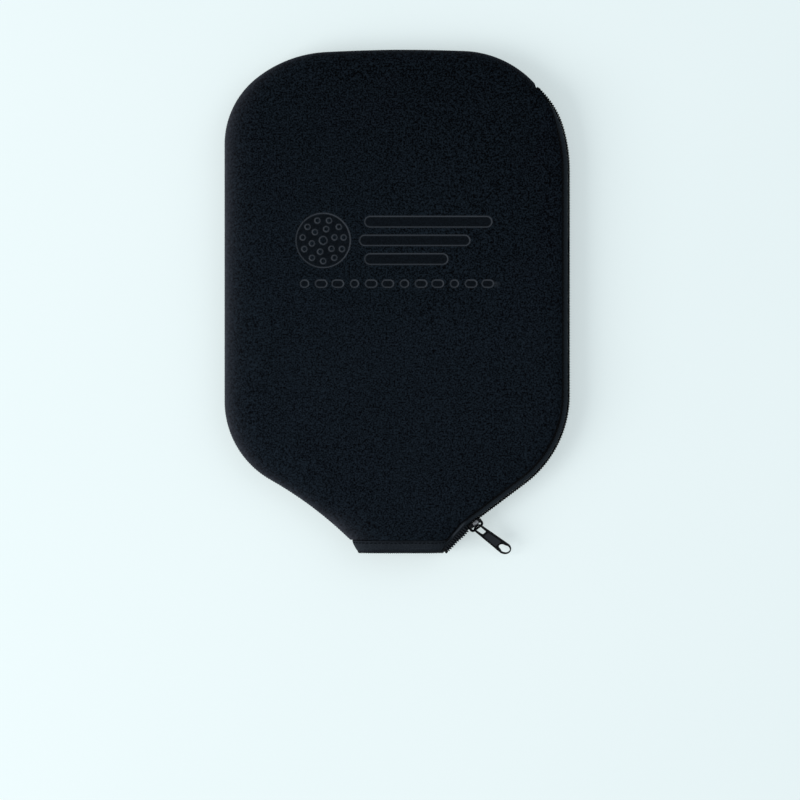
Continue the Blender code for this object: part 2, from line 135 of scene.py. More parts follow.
class Finish:
    """A Principled material, with one method that adds any node."""

    def __init__(self, name):
        self.material = bpy.data.materials.new(name)
        self.material.use_nodes = True
        self.tree = self.material.node_tree
        self.shader = self.tree.nodes["Principled BSDF"]

    def node(self, kind, settings=None, values=None):
        """Add a node: its settings first, then the values or links of its sockets."""
        made = self.tree.nodes.new(kind)
        for key, setting in (settings or {}).items():
            setattr(made, key, setting)
        for key, value in (values or {}).items():
            self.join(made.inputs[key], value)
        return made

    def join(self, socket, value):
        if isinstance(value, Value):
            value = value.socket
        if isinstance(value, bpy.types.NodeSocket):
            self.tree.links.new(value, socket)
        else:
            socket.default_value = value

    def maths(self, operation, first, second=0.0, use_clamp=False):
        settings = {"operation": operation, "use_clamp": use_clamp}
        made = self.node("ShaderNodeMath", settings, {0: first, 1: second})
        return Value(self, made.outputs[0])

    def place(self):
        """X, Y and Z of the surface point, in metres, fixed to the piece."""
        where = self.node("ShaderNodeTexCoord").outputs["Object"]
        parts = self.node("ShaderNodeSeparateXYZ", None, {"Vector": where})
        return where, [Value(self, parts.outputs[i]) for i in range(3)]

    def noise(self, where, per_metre, detail=2.0, roughness=0.5):
        values = {"Vector": where, "Scale": per_metre, "Detail": detail, "Roughness": roughness}
        return Value(self, self.node("ShaderNodeTexNoise", None, values).outputs["Fac"])

    def attribute(self, name):
        made = self.node("ShaderNodeAttribute", {"attribute_name": name})
        return Value(self, made.outputs["Fac"])

    def between(self, share, first, second):
        """A colour that goes from first to second as share goes from 0 to 1."""
        values = {MIX_SHARE: share, MIX_FIRST: first, MIX_SECOND: second}
        made = self.node("ShaderNodeMix", {"data_type": "RGBA"}, values)
        return made.outputs[MIX_RESULT]

    def bump(self, height, distance, strength=1.0):
        values = {"Height": height, "Distance": distance, "Strength": strength}
        self.feed("Normal", self.node("ShaderNodeBump", None, values).outputs["Normal"])

    def feed(self, socket, value):
        self.join(self.shader.inputs[socket], value)


print("shader helpers ready")

# %% [markdown]
# ## The finishes
# Neoprene for covers is foam with a jersey knit bonded to it. The knit is dull and blue-black,
# with a fine grain, and its fibres catch light at a grazing angle, which is what Sheen is for.
# The pressed pattern is the same knit, flattened and heat-glazed, so it is smoother and glossier.

# %% Neoprene knit
WALE = 0.62 * MM                   # spacing of the knit's columns
COURSE = 0.50 * MM                 # spacing of its rows
KNIT_DARK = (0.0001, 0.0003, 0.0008, 1)
KNIT_LIGHT = (0.0132, 0.0212, 0.0305, 1)
# Painted highlight: the knit at the sewn edge is made lighter, as where it rolls over towards the light
KNIT_EDGE_LIGHT = (0.052, 0.054, 0.066, 1)
KNIT_SHADED = (0.0008, 0.0011, 0.0016, 1)


def jersey_height(x, y):
    """Columns of small slanted loops, as on the face of a jersey."""
    column = (x * (math.pi / WALE)).sine().size()
    slant = (x * (2 * math.pi / WALE)).sine() * 1.3
    row = (y * (2 * math.pi / COURSE) + slant).sine() * 0.5 + 0.5
    return column * (row * 0.6 + 0.4)


def knit_finish(name, pressed_pattern):
    finish = Finish(name)
    where, (x, y, _) = finish.place()
    loops = jersey_height(x, y)
    grain = finish.noise(where, 1050, 1.0, 0.5).above(0.38, 0.64)
    tuft = finish.noise(where, 560, 2.0, 0.6).above(0.36, 0.66)
    cloud = finish.noise(where, 16, 2.0)
    lint = finish.noise(where, 2600, 1.0).above(0.76, 0.80)
    # Painted light and shade: lighter towards the left, darker towards the right and over the top, as the
    # light falls from the lower left
    light_slope = x * -0.45 - y.above(-0.02, 0.14) * 0.13
    tone = (grain * 0.60 + tuft * 0.30 + loops * 0.10 + cloud * 0.12 + light_slope - 0.11).clamped()
    colour = finish.between(tone, KNIT_DARK, KNIT_LIGHT)
    colour = finish.between(lint * 0.25, colour, (0.035, 0.042, 0.050, 1))
    # Painted highlight along the sewn edges, and painted shade beside the zip's lip
    edge_light = finish.attribute("edge_light")
    colour = finish.between(edge_light * (tuft * 0.4 + 0.6), colour, KNIT_EDGE_LIGHT)
    colour = finish.between(finish.attribute("shaded"), colour, KNIT_SHADED)
    rough = grain * 0.12 + 0.80
    relief = loops * 0.5 + grain * 0.5 + tuft * 0.4
    if pressed_pattern:
        pressed = finish.attribute("pressed")
        # rim is a painted highlight: a lighter outline along the pattern's edges, where they catch the light
        rim = (pressed * (1 - pressed) * 4).clamped()
        glaze = finish.noise(where, 75, 3.0)
        colour = finish.between(pressed * 0.75, colour, (0.0036, 0.0052, 0.0074, 1))
        colour = finish.between(rim * 0.85, colour, (0.052, 0.060, 0.071, 1))
        rough = rough - pressed * (glaze * 0.22 + 0.26) - rim * 0.08
        relief = relief * (1 - pressed * 0.75)
    finish.feed("Base Color", colour)
    finish.feed("Roughness", rough)
    finish.feed("Specular IOR Level", 0.03)
    finish.feed("Sheen Weight", 0.02)
    finish.feed("Sheen Roughness", 0.35)
    finish.bump(relief, 0.22 * MM, 0.9)
    return finish.material


front_knit = knit_finish("neoprene_knit_front", True)
back_knit = knit_finish("neoprene_knit_back", False)
print("knit finishes made")

# %% [markdown]
# Zip tape is a narrow woven ribbon with a herringbone twill, a little lighter than the knit.
# The mouth hem is a finely ribbed knit. Both patterns run along the ribbon, so each mesh carries
# two numbers per vertex, how far along and how far across, for its material to read.

# %% Zip tape, hem binding
TWILL = 0.9 * MM                   # spacing of the twill's slanted lines
RIB_PITCH = 0.62 * MM              # spacing of the hem's ribs


def tape_finish():
    finish = Finish("zip_tape_twill")
    where = finish.place()[0]
    along = finish.attribute("along")
    across = finish.attribute("across")
    bias = (across * (2 * math.pi / (TWILL * 2.2))).sine().size() * 2.4
    twill = (along * (2 * math.pi / TWILL) + bias).sine() * 0.5 + 0.5
    grain = finish.noise(where, 1500, 2.0)
    tone = (twill * 0.5 + grain * 0.6 - 0.05).clamped()
    colour = finish.between(tone, (0.0042, 0.0068, 0.0094, 1), (0.0215, 0.0305, 0.0390, 1))
    # Painted shade: the tape is made near-black where it runs under the panel's lip, and darker under the
    # fold where it lies open
    colour = finish.between(finish.attribute("lip"), colour, (0.0005, 0.0007, 0.0010, 1))
    # Painted highlight: the fold's ridge, where the tape lies open, is made lighter as where it catches the
    # light
    colour = finish.between(finish.attribute("ridge"), colour, (0.050, 0.058, 0.070, 1))
    finish.feed("Base Color", colour)
    finish.feed("Roughness", grain * 0.2 + 0.72)
    finish.feed("Specular IOR Level", 0.10)
    finish.feed("Sheen Weight", 0.03)
    finish.bump(twill * 0.7 + grain * 0.4, 0.12 * MM, 0.8)
    return finish.material


def binding_finish():
    finish = Finish("hem_binding_knit")
    where = finish.place()[0]
    along = finish.attribute("along")
    rib = (along * (2 * math.pi / RIB_PITCH)).sine() * 0.5 + 0.5
    grain = finish.noise(where, 1150, 2.0, 0.7).above(0.34, 0.66)
    patches = finish.noise(where, 60, 2.0)
    tone = (rib * 0.22 + grain * 0.50 + patches * 0.30 - 0.02).clamped()
    colour = finish.between(tone, (0.0045, 0.0065, 0.0090, 1), (0.026, 0.033, 0.042, 1))
    finish.feed("Base Color", colour)
    finish.feed("Roughness", grain * 0.15 + 0.78)
    finish.feed("Specular IOR Level", 0.06)
    finish.feed("Sheen Weight", 0.04)
    finish.bump(rib * 0.3 + grain * 0.5, 0.14 * MM, 0.7)
    return finish.material


twill_tape = tape_finish()
ribbed_binding = binding_finish()
print("tape and binding finishes made")


# %% [markdown]
# Nylon coil is smooth drawn plastic, so it is the shiniest soft part. Sewing thread is twisted:
# a slanted ripple along each stitch. The slider and pull are die-cast metal under black enamel,
# rubbed a little on the ridges that hands and keys touch.

# %% Coil, thread, enamel
def coil_finish():
    finish = Finish("coil_nylon")
    where = finish.place()[0]
    haze = finish.noise(where, 900, 2.0)
    # The coil is one nylon. Painted shade makes the hooked teeth in the groove darker, and painted light
    # makes the turned-up open teeth lighter
    hooked = finish.between(haze, (0.0012, 0.0016, 0.0022, 1), (0.0045, 0.0058, 0.0075, 1))
    laid_open = finish.between(haze, (0.0060, 0.0075, 0.0095, 1), (0.0230, 0.0280, 0.0340, 1))
    finish.feed("Base Color", finish.between(finish.attribute("open"), hooked, laid_open))
    finish.feed("Roughness", haze * 0.2 + 0.45)
    finish.feed("Specular IOR Level", 0.06)
    finish.bump(haze, 0.02 * MM, 0.4)
    return finish.material


def thread_finish(name, light, shine):
    finish = Finish(name)
    where, (x, y, z) = finish.place()
    twist = ((x + y * 1.4 + z * 1.2) * (2 * math.pi / (0.45 * MM))).sine() * 0.5 + 0.5
    fuzz = finish.noise(where, 2200, 2.0)
    tone = (twist * 0.6 + fuzz * 0.4).clamped()
    finish.feed("Base Color", finish.between(tone, (0.0015, 0.0020, 0.0030, 1), light))
    finish.feed("Roughness", fuzz * 0.2 + 0.5)
    finish.feed("Specular IOR Level", shine)
    finish.bump(twist, 0.05 * MM, 0.7)
    return finish.material


def enamel_finish(name, dull_part=None):
    finish = Finish(name)
    where, place = finish.place()
    peel = finish.noise(where, 420, 2.0)
    speck = finish.noise(where, 3000, 1.0)
    corner = Value(finish, finish.node("ShaderNodeNewGeometry").outputs["Pointiness"])
    rubbed = corner.above(0.535, 0.60) * finish.noise(where, 650, 2.0).above(0.35, 0.65)
    colour = finish.between(peel, (0.0018, 0.0021, 0.0026, 1), (0.0036, 0.0042, 0.0050, 1))
    colour = finish.between(rubbed * 0.15, colour, (0.07, 0.075, 0.08, 1))
    rough = peel * 0.12 + 0.16 + rubbed * 0.15
    coat = 0.04
    if dull_part:
        dull = dull_part(finish, place)
        colour = finish.between(dull, colour, (0.0185, 0.0210, 0.0250, 1))
        rough = rough + dull * (speck * 0.12 + 0.38)
        coat = 0.04 - dull * 0.04
    finish.feed("Base Color", colour)
    finish.feed("Roughness", rough)
    finish.feed("Coat Weight", coat)
    finish.feed("Coat Roughness", 0.10)
    finish.feed("Specular IOR Level", 0.07)
    finish.bump(peel * 0.5 + speck * 0.3, 0.03 * MM, 0.6)
    return finish.material


nylon = coil_finish()
thread = thread_finish("thread_polyester", (0.022, 0.027, 0.033, 1), 0.12)
# thread_dark is painted shade: the hem's stitches are near-black, standing for the shade in their stitch
# holes
dark_thread = thread_finish("thread_dark", (0.0030, 0.0040, 0.0056, 1), 0.01)
gloss_enamel = enamel_finish("enamel_gloss")
print("coil, thread and enamel finishes made")


# %% [markdown]
# ## The case's outline
# The panels, the seam and the zip all follow the same edge, so it is worked out once, from a few
# arcs and straight runs. It starts at the left of the neck and runs clockwise: up the left side,
# over the top to the notch where the seam ends, then down the zipped side.

# %% Arcs and even spacing
def arc(centre, radius, start, end, steps=40):
    angles = np.radians(np.linspace(start, end, steps + 1))
    ring = np.stack([np.cos(angles), np.sin(angles)], 1)
    return np.array(centre) * MM + ring * radius * MM


def at_reach(points, reach, wanted):
    """The two numbers of each wanted place, where reach is the distance along the points."""
    return np.stack([np.interp(wanted, reach, points[:, k]) for k in (0, 1)], -1)


def even(points, pitch):
    """The same line with its points at an even spacing of about pitch."""
    points = np.array(points)
    steps = np.linalg.norm(np.diff(points, axis=0), axis=1)
    reach = np.concatenate([[0], np.cumsum(steps)])
    wanted = np.linspace(0, reach[-1], max(2, int(round(reach[-1] / pitch)) + 1))
    return at_reach(points, reach, wanted), wanted


def directions(points):
    """Unit directions along a line and into the case, at each point."""
    run = np.gradient(points, axis=0)
    run /= np.linalg.norm(run, axis=1)[:, None]
    return run, np.stack([run[:, 1], -run[:, 0]], 1)


def smooth(value, low, high):
    """0 below low, 1 above high, with a soft start and end."""
    share = np.clip((value - low) / (high - low), 0, 1)
    return share * share * (3 - 2 * share)


def bowed(start, end, bow, steps=20):
    """A shallow curve between two ends that swells to the right of travel."""
    start, end = np.array(start), np.array(end)
    across = np.array([end[1] - start[1], start[0] - end[0]]) / np.linalg.norm(end - start)
    share = np.linspace(0, 1, steps + 1)[:, None]
    return start + (end - start) * share + across * 4 * bow * share * (1 - share)


def eased_corner(centre, radius, turn, next_radius, start, end):
    """Two arcs that meet without a kink at the angle turn, the second with next_radius."""
    towards = np.array([math.cos(math.radians(turn)), math.sin(math.radians(turn))])
    next_centre = np.array(centre) + towards * (radius - next_radius)
    return np.concatenate([arc(centre, radius, start, turn), arc(next_centre, next_radius, turn, end)[1:]])


# %% The seam's line and the zip's line
NECK_Y = -140.9 * MM
NECK_LEFT = -28.3 * MM
ZIP_SLOPE = 37.0                   # degrees, the straight run beside the neck
STRAIGHT_RUN = 38.5 * MM
SLIDER_LENGTH = 9.4 * MM
CROWN_BOW = -0.2 * MM
NECK_BOW = 1.9 * MM
slope = np.array([math.cos(math.radians(ZIP_SLOPE)), math.sin(math.radians(ZIP_SLOPE))])

left_low = arc((-48.7, -58.8), 53.9, 240, 180)
left_top = eased_corner((-52.0, 93.5), 50.6, 128, 72.5, 180, 93)
right_top = arc((37.7, 89.1), 60.2, 88, 42.6)
crown = np.array([(left_top[-1][0] + right_top[0][0]) / 2, 150.0 * MM])
seam_raw = np.concatenate([
    bowed((NECK_LEFT, NECK_Y), left_low[0], NECK_BOW)[:-1],
    left_low,
    left_top,
    bowed(left_top[-1], crown, CROWN_BOW)[1:-1],
    bowed(crown, right_top[0], CROWN_BOW)[:-1],
    right_top,
])

zip_start = np.array([[82.8, 126.9]]) * MM
zip_top = np.concatenate([zip_start, eased_corner((49.3, 89.0), 51.7, 16, 92.9, 46, 0)])
zip_low = arc((36.6, -55.0), 66.0, 0, ZIP_SLOPE - 90)
slider_spot = zip_low[-1] - slope * STRAIGHT_RUN
parting = slider_spot - slope * SLIDER_LENGTH * 0.62
tail_bend = np.array([33.0, -143.7]) * MM
tail_end = np.array([28.9, -147.7]) * MM
zip_raw = np.concatenate([zip_top, zip_low, [slider_spot, parting, tail_bend, tail_end]])
neck_right = parting + (tail_bend - parting) * (NECK_Y - parting[1]) / (tail_bend[1] - parting[1])
panel_raw = np.concatenate([seam_raw, zip_top, zip_low, [parting, neck_right]])
seam_length = np.linalg.norm(np.diff(seam_raw, axis=0), axis=1).sum()
print("closed seam", round(seam_length, 4), "m")


# %% [markdown]
# ## A mesh from sections
# Ribbons, bindings and threads are all one section carried along a line. One helper lofts a row
# of sections into a closed solid and keeps the two numbers that the woven finishes read.

# %% Loft and tube helpers
def set_numbers(mesh, key, values):
    """Give every point of a mesh a number that a finish can read."""
    layer = mesh.attributes.new(key, "FLOAT", "POINT")
    layer.data.foreach_set("value", np.array(values, dtype=np.float32).ravel())


def new_piece(name, verts, faces, material, numbers=None, flat=False):
    mesh = bpy.data.meshes.new(name)
    mesh.from_pydata([tuple(v) for v in verts], [], faces)
    bm = bmesh.new()
    bm.from_mesh(mesh)
    bmesh.ops.recalc_face_normals(bm, faces=bm.faces)
    bm.to_mesh(mesh)
    bm.free()
    for key, values in (numbers or {}).items():
        set_numbers(mesh, key, values)
    mesh.materials.append(material)
    for face in mesh.polygons:
        face.use_smooth = not flat
    piece = bpy.data.objects.new(name, mesh)
    bpy.context.collection.objects.link(piece)
    return piece


def loft(name, sections, material, reach=None):
    """A closed solid through equal sections, capped at both ends."""
    rows, count = len(sections), len(sections[0])
    verts = [point for section in sections for point in section]
    faces = [tuple(range(count - 1, -1, -1)), tuple(range((rows - 1) * count, rows * count))]
    for a in range(rows - 1):
        for i in range(count):
            j = (i + 1) % count
            faces.append((a * count + i, a * count + j, (a + 1) * count + j, (a + 1) * count + i))
    numbers = None
    if reach is not None:
        first = np.array(sections[0])
        steps = np.linalg.norm(np.diff(first, axis=0), axis=1)
        widths = np.concatenate([[0], np.cumsum(steps)])
        numbers = {"along": np.repeat(reach, count), "across": np.tile(widths, rows)}
    return new_piece(name, verts, faces, material, numbers)


def add_tube(verts, faces, points, radius, sides=6):
    """Add one closed round tube through a list of 3-D points."""
    points = [Vector(p) for p in points]
    start = len(verts)
    up = Vector((0.13, 0.21, 0.97))
    for i, point in enumerate(points):
        run = points[min(i + 1, len(points) - 1)] - points[max(i - 1, 0)]
        side = run.cross(up).normalized()
        over = side.cross(run).normalized()
        taper = 0.72 if i in (0, len(points) - 1) else 1.0
        for k in range(sides):
            angle = 2 * math.pi * k / sides
            verts.append(point + (side * math.cos(angle) + over * math.sin(angle)) * radius * taper)
    for a in range(len(points) - 1):
        for k in range(sides):
            m = (k + 1) % sides
            low, high = start + a * sides, start + (a + 1) * sides
            faces.append((low + k, low + m, high + m, high + k))
    faces.append(tuple(start + k for k in range(sides - 1, -1, -1)))
    last = start + (len(points) - 1) * sides
    faces.append(tuple(last + k for k in range(sides)))


def dress(piece, slot, *nodes):
    """Ride on the case, and stand for the frame's own nodes; slot is not used."""
    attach(piece, "case")
    if nodes:
        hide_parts(*nodes)
    return piece


# %% [markdown]
# ## The panels
# A neoprene panel over a paddle is flat in the middle and rolls over at its edge: a sewn edge
# rolls right round to the seam, and a zipped edge ends in a folded lip with the zip tape under it.
# So the rim is a set of rings, and each ring is the outline moved inwards and up by the rim's
# section. The middle is filled with fine triangles, so that the pressed pattern can be real relief.

# %% The rim's section
PANEL_THICK = 3.0 * MM
RIM_STEPS = 20
LIP_STEPS = 6
INNER_STEPS = 5


def quarter_ellipse(start, end, steps):
    """From an upright start to a level end, as (inward distance, height over the middle)."""
    angles = np.linspace(0, math.pi / 2, steps + 1)
    depth = start[0] + (end[0] - start[0]) * (1 - np.cos(angles))
    height = start[1] + (end[1] - start[1]) * np.sin(angles) ** 0.8
    return np.stack([depth, height], 1)


def rim_section(outer_start, outer_end, inner_start, inner_end):
    """The whole rim, from the inner face, round the lip, to the outer face."""
    inner = quarter_ellipse(inner_start, inner_end, INNER_STEPS)[::-1]
    outer = quarter_ellipse(outer_start, outer_end, RIM_STEPS)
    middle = (inner[-1] + outer[0]) / 2
    spoke = outer[0] - middle
    lip = []
    for k in range(1, LIP_STEPS):
        angle = math.pi * (1 - k / LIP_STEPS)
        turn = np.array([[math.cos(angle), -math.sin(angle)], [math.sin(angle), math.cos(angle)]])
        lip.append(middle + turn @ spoke * [1.0, 0.55])
    return np.concatenate([inner, lip, outer])


FLAT = MID
INSIDE = MID - PANEL_THICK
CROWN_END = 23.0 * MM              # how far in the outer face takes to get quite flat
INNER_END = 14.0 * MM
OUTER_END = (CROWN_END, FLAT)
INNER_FLAT = (INNER_END, INSIDE)
SEWN_HEIGHT = 0.9 * MM             # half the gap between the two panels at the seam
ZIPPED_HEIGHT = 6.5 * MM           # how high the panel's lip is over the zip's middle
sewn_section = rim_section((0.35 * MM, SEWN_HEIGHT), OUTER_END, (3.6 * MM, SEWN_HEIGHT), INNER_FLAT)


def zip_section(band):
    """The rim beside the zip, where band is the width of zip left showing."""
    inner_start = (band + 2.2 * MM, ZIPPED_HEIGHT - 0.3 * MM)
    return rim_section((band, ZIPPED_HEIGHT), OUTER_END, inner_start, INNER_FLAT)


print("rim section has", len(sewn_section), "points")

# %% The edge, with how far it is a zipped edge
PANEL_PITCH = 1.1 * MM
edge, edge_reach = even(panel_raw, PANEL_PITCH)
edge_run, edge_into = directions(edge)


def relaxed(values, rounds):
    """The same row of values with its kinks eased, and its two ends kept."""
    values = values.copy()
    for _ in range(rounds):
        values[1:-1] = (values[:-2] + 2 * values[1:-1] + values[2:]) / 4
    return values


soft_edge = relaxed(edge, 60)
edge_into = relaxed(edge_into, 90)
edge_into /= np.linalg.norm(edge_into, axis=1)[:, None]
zipped = smooth(edge_reach, seam_length - 0.6 * MM, seam_length + 3.2 * MM)
BAND_START = 0.7 * MM              # the width of zip left showing at the notch
BAND = 4.5 * MM                    # the same down the side
BAND_GROWTH = 41 * MM              # the length of zip over which the band gets to its full width
band_growth = smooth(edge_reach, seam_length, seam_length + BAND_GROWTH)
band_width = BAND_START + (BAND - BAND_START) * band_growth
FAN_SPREAD = 26 * MM               # how far from the neck the inward directions lean over


def fan(into, run, reach):
    """Lean the inward directions over near the neck, so that every ring ends on the neck's line."""
    leaned = into.copy()
    for end, distance in ((0, reach), (-1, reach[-1] - reach)):
        lean = -into[end][1] / run[end][1]
        share = 1 - smooth(distance, 0, FAN_SPREAD)
        leaned += run * (lean * share)[:, None]
    return leaned


edge_into = fan(edge_into, edge_run, edge_reach)
print("panel edge", len(edge), "points,", round(edge_reach[-1], 4), "m")

# %% [markdown]
# The pressed pattern is a plain perforated ball with three bars beside it, and a row of dots
# below. Each shape is a distance formula: negative inside, positive outside.

# %% The pressed pattern
PRESS_DEPTH = 0.42 * MM
PRESS_SOFT = 0.45 * MM
BALL = np.array([-43.5, 36.0]) * MM
BALL_RADIUS = 16.0 * MM
BAR_HALF = 3.1 * MM
BARS = [(47.0, -19.0, 56.0), (36.0, -22.0, 43.0), (25.0, -19.0, 30.0)]
DOT_ROW = 10.5 * MM
DOT_COUNT = 12
DOT_FROM = -54.5                   # the middles of the first and the last dot, in millimetres
DOT_TO = 53.5


def capsule(x, y, x0, x1, row, half):
    """Distance from a bar with round ends."""
    return np.hypot(x - np.clip(x, x0 + half, x1 - half), y - row) - half


def pressed_at(x, y):
    """1 where the pattern is pressed in, 0 outside it, soft at its edges."""
    ball = np.hypot(x - BALL[0], y - BALL[1]) - BALL_RADIUS
    holes = np.hypot(x - BALL[0], y - BALL[1]) - 2.3 * MM
    for ring, count in ((6.9 * MM, 6), (12.2 * MM, 11)):
        for k in range(count):
            angle = 2 * math.pi * (k + 0.25) / count
            cx, cy = BALL[0] + ring * math.cos(angle), BALL[1] + ring * math.sin(angle)
            holes = np.minimum(holes, np.hypot(x - cx, y - cy) - 1.55 * MM)
    nearest = np.maximum(ball, -holes)
    for row, x0, x1 in BARS:
        nearest = np.minimum(nearest, capsule(x, y, x0 * MM, x1 * MM, row * MM, BAR_HALF))
    for k in range(DOT_COUNT):
        cx = (DOT_FROM + k * (DOT_TO - DOT_FROM) / (DOT_COUNT - 1)) * MM
        half_long = 3.4 * MM if k % 3 else 2.4 * MM
        nearest = np.minimum(nearest, capsule(x, y, cx - half_long, cx + half_long, DOT_ROW, 2.1 * MM))
    return 1 - smooth(nearest, -PRESS_SOFT, PRESS_SOFT)


# %% The face's shallow waves
def waves(x, y):
    """Slow shallow swells where the sheet is pulled between the seam and the zip."""
    u, v = x / 0.1, y / 0.15
    swell = np.sin(2.1 * u + 1.3 * v + 0.4) * np.cos(1.7 * v - 0.9 * u)
    cross = np.sin(4.3 * u - 2.2 * v + 1.1) * np.sin(3.1 * v + 0.5)
    return (0.20 * swell + 0.09 * cross) * MM


def grid_points(low, high, pitch, keep):
    """A honeycomb of points in a box, where keep(x, y) is true."""
    found = []
    rows = int((high[1] - low[1]) / (pitch * 0.866)) + 1
    for j in range(rows):
        xs = np.arange(low[0] + (pitch / 2 if j % 2 else 0), high[0], pitch)
        ys = np.full_like(xs, low[1] + j * pitch * 0.866)
        good = keep(xs, ys)
        found.append(np.stack([xs[good], ys[good]], 1))
    return np.concatenate(found)


def inside_by(x, y, ring, margin):
    """True where a point is inside a closed ring by more than margin."""
    result = np.zeros(len(x), bool)
    near = np.full(len(x), 1e9)
    previous = np.roll(ring, 1, axis=0)
    for (ax, ay), (bx, by) in zip(previous, ring):
        crosses = (ay > y) != (by > y)
        if crosses.any():
            at = ax + (y - ay) / (by - ay if by != ay else 1e-12) * (bx - ax)
            result ^= crosses & (x < at)
        span = (bx - ax) ** 2 + (by - ay) ** 2
        t = np.clip(((x - ax) * (bx - ax) + (y - ay) * (by - ay)) / max(span, 1e-12), 0, 1)
        near = np.minimum(near, np.hypot(x - ax - t * (bx - ax), y - ay - t * (by - ay)))
    return result & (near > margin)


# %% [markdown]
# Filling a rounded outline with even triangles is a Delaunay job: give it the ring as a fixed
# edge and a honeycomb of points inside, finer where the pattern is.

# %% Fill a ring with triangles
PATTERN_LOW = np.array([-62.0, 6.0]) * MM
PATTERN_HIGH = np.array([58.0, 54.5]) * MM


def fill_ring(ring, fine):
    """Points and triangles of a filled ring; the ring's own points come first."""
    coarse = 4.5 * MM
    margin = 0.7 * MM

    def in_pattern(x, y):
        return (x > PATTERN_LOW[0]) & (x < PATTERN_HIGH[0]) & (y > PATTERN_LOW[1]) & (y < PATTERN_HIGH[1])

    low, high = ring.min(0), ring.max(0)
    spread = grid_points(low, high, coarse, lambda x, y: inside_by(x, y, ring, coarse * 0.45))
    if fine:
        spread = spread[~in_pattern(spread[:, 0], spread[:, 1])]
        dense = grid_points(PATTERN_LOW + margin, PATTERN_HIGH - margin, fine, in_pattern)
        spread = np.concatenate([spread, dense])
    points = [Vector(p) for p in np.concatenate([ring, spread])]
    count = len(ring)
    loop = [(i, (i + 1) % count) for i in range(count)]
    made = geometry.delaunay_2d_cdt(points, loop, [], 1, 1e-7)
    return made[0], made[2], made[3]


# %% Build one panel
EDGE_LIGHT_LEFT = 3.4 * MM             # how far in from the seam the painted highlight reaches, up the side where the light falls
EDGE_LIGHT_TOP = 0.9 * MM              # the same over the top


def panel_piece(name, side, material, fine):
    """side is 1 for the front, -1 for the back."""
    beside_zip = np.array([zip_section(band) for band in band_width])
    section = sewn_section[None] * (1 - zipped)[:, None, None] + beside_zip * zipped[:, None, None]
    rings = len(sewn_section)
    count = len(edge)
    settled = smooth(section[:, :, 0:1], 0.5 * MM, 9 * MM)
    flat = edge[:, None, :] * (1 - settled) + soft_edge[:, None, :] * settled
    flat = flat + edge_into[:, None, :] * section[:, :, 0:1]
    height = section[:, :, 1]
    verts, pressed, faces = [], [], []
    # Painted highlight along the sewn edges: it reaches furthest in up the left side, where the light falls
    fade_length = EDGE_LIGHT_TOP + (EDGE_LIGHT_LEFT - EDGE_LIGHT_TOP) * np.clip(edge_into[:, 0:1], 0, 1) ** 1.5
    edge_light = np.exp(-section[:, :, 0] / fade_length) * (1 - zipped)[:, None]
    shaded = (1 - smooth(section[:, :, 0] - band_width[:, None], 0.3 * MM, 1.1 * MM)) * zipped[:, None]
    fade = np.zeros(rings)
    fade[-RIM_STEPS - 1:] = smooth(np.arange(RIM_STEPS + 1), 0, RIM_STEPS)
    lift = waves(flat[:, :, 0], flat[:, :, 1]) * fade[None]
    if side < 0:
        lift = -np.abs(lift) * 0.5
    for i in range(count):
        for k in range(rings):
            verts.append((flat[i, k, 0], flat[i, k, 1], MID + side * (height[i, k] + lift[i, k])))
            pressed.append(0.0)
    for i in range(count - 1):
        for k in range(rings - 1):
            a, b = i * rings + k, (i + 1) * rings + k
            faces.append((a, b, b + 1, a + 1))
    neck = {}
    for key, k in (("inner", 0), ("outer", rings - 1)):
        first, last = flat[0, k], flat[count - 1, k]
        steps = 14
        between = [last + (first - last) * j / steps for j in range(1, steps)]
        ring = np.concatenate([flat[:, k], between])
        places, triangles, origins = fill_ring(ring, fine if key == "outer" else None)
        where = {}
        for index, (place, known) in enumerate(zip(places, origins)):
            known = [o for o in known if o < count]
            if known:
                where[index] = known[0] * rings + k
                continue
            where[index] = len(verts)
            x, y = np.array([place[0]]), np.array([place[1]])
            if key == "outer":
                mark = float(pressed_at(x, y)[0]) if fine else 0.0
                raised = float(waves(x, y)[0])
                raised = raised if side > 0 else -abs(raised) * 0.5
                z = FLAT + raised - mark * PRESS_DEPTH
            else:
                mark = 0.0
                z = INSIDE
            verts.append((place[0], place[1], MID + side * z))
            pressed.append(mark)
        faces += [tuple(where[v] for v in triangle) for triangle in triangles]
        located = {origins[i][0]: where[i] for i in where if origins[i]}
        neck[key] = [(count - 1) * rings + k] + [located[count + j] for j in range(steps - 1)] + [k]
    for first in (0, (count - 1) * rings):
        profile = list(range(first, first + rings))
        inner, outer = profile[:INNER_STEPS + 1], profile[-RIM_STEPS - 1:]
        lip = profile[INNER_STEPS:rings - RIM_STEPS]
        faces += end_strip(inner[::-1], outer, lip)
    for a, b, c, d in zip(neck["outer"], neck["outer"][1:], neck["inner"][1:], neck["inner"]):
        faces.append((a, b, c, d))
    numbers = {"pressed": pressed}
    for key, share in (("edge_light", edge_light), ("shaded", shaded)):
        numbers[key] = np.concatenate([share.ravel(), np.zeros(len(verts) - share.size)])
    return new_piece(name, verts, faces, material, numbers)


def end_strip(inner, outer, lip):
    """Close the cut end of the rim: the lip's own small face, then quads and triangles."""
    faces = [tuple(lip)]
    i = 0
    for o in range(len(outer) - 1):
        wanted = round((o + 1) * (len(inner) - 1) / (len(outer) - 1))
        if wanted > i:
            faces.append((inner[i], outer[o], outer[o + 1], inner[wanted]))
            i = wanted
        else:
            faces.append((inner[i], outer[o], outer[o + 1]))
    return faces


FINE_PITCH = 0.62 * MM
front_piece = dress(panel_piece("front_neoprene", 1, front_knit, FINE_PITCH), "neoprene_knit", "front_panel")
back_piece = dress(panel_piece("back_neoprene", -1, back_knit, None), "neoprene_knit", "back_panel")
print("front panel", len(front_piece.data.vertices), "points; back", len(back_piece.data.vertices))

